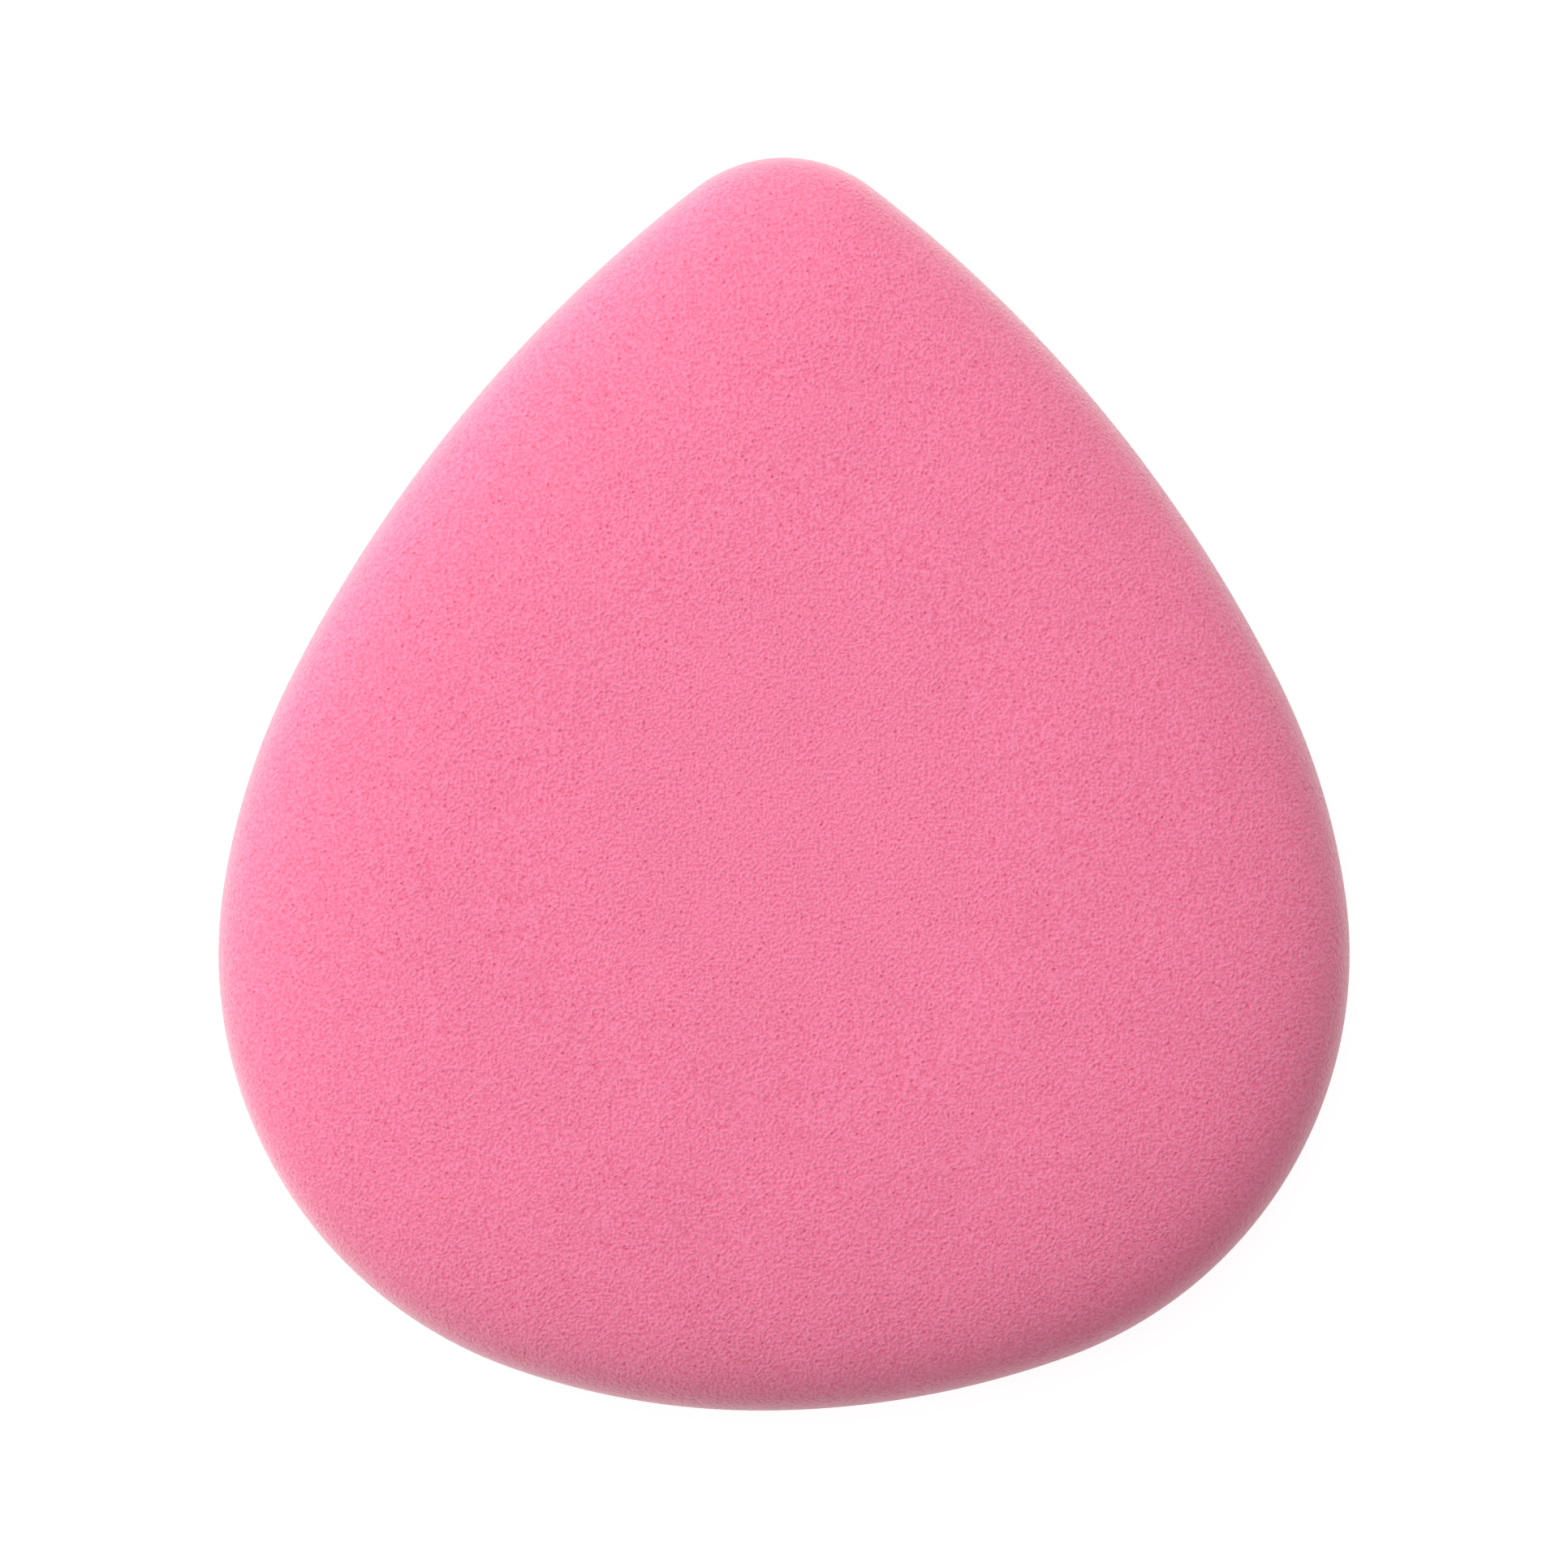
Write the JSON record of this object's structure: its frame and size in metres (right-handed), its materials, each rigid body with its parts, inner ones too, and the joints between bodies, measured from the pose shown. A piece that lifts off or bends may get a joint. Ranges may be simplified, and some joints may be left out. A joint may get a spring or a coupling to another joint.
{
  "type": "makeup sponge",
  "caption": "Flat teardrop makeup sponge: a soft laminated foam pad with a rounded edge and a low crown, pressed in the hand to dab and blend make-up.",
  "frame": {"origin": "middle of the flat back, on the surface that the pad rests on", "axes": "+Z out of the face, +Y towards the tip of the teardrop, +X to the right when the face is looked at with the tip up"},
  "size_m": [0.065, 0.072, 0.015],
  "materials": {
    "contact_foam": "matte",
    "back_foam": "matte",
    "core_foam": "matte",
    "clear_film": "satin",
    "adhesive_film": "satin",
    "hot_melt": "satin"
  },
  "bodies": {
    "back": {"back_cover": "back_foam", "back_bond_film": "adhesive_film", "foam_core": "core_foam", "seam_bond": "hot_melt"},
    "face": {"face_cover": "contact_foam", "barrier_film": "clear_film"}
  },
  "joints": [
    {"name": "face_press", "type": "slide", "parent": "back", "child": "face", "axis": [0, 0, -1], "range_m": [0, 0.004], "stiffness_N_per_m": 1500, "deforming": ["face_cover", "barrier_film", "foam_core"]}
  ]
}
